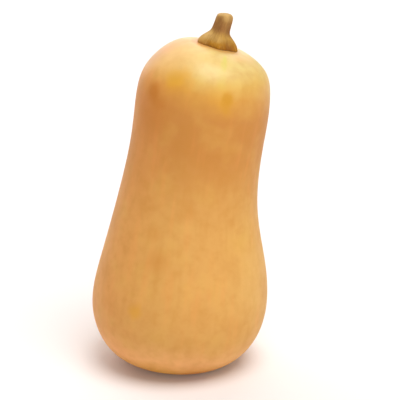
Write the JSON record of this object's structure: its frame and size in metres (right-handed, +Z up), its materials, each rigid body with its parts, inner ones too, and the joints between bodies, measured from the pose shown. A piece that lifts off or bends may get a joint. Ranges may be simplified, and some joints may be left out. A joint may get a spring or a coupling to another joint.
{
  "type": "butternut squash",
  "caption": "Butternut squash standing on its blossom end: a bulbous base, a thick leaning neck with a rounded crown, and a short ridged woody stem.",
  "frame": {"origin": "on the ground, under the middle of the bounding box", "axes": "+Z up from the flat that the squash stands on; +X towards the side that the neck leans to; -Y towards the viewer"},
  "size_m": [0.1144, 0.113, 0.2314],
  "materials": {
    "rind": "satin, faintly waxy buff-orange rind",
    "stem_wood": "dry, matt, olive-tan"
  },
  "bodies": {
    "root": {"fruit": "rind", "stem": "stem_wood"}
  },
  "joints": []
}
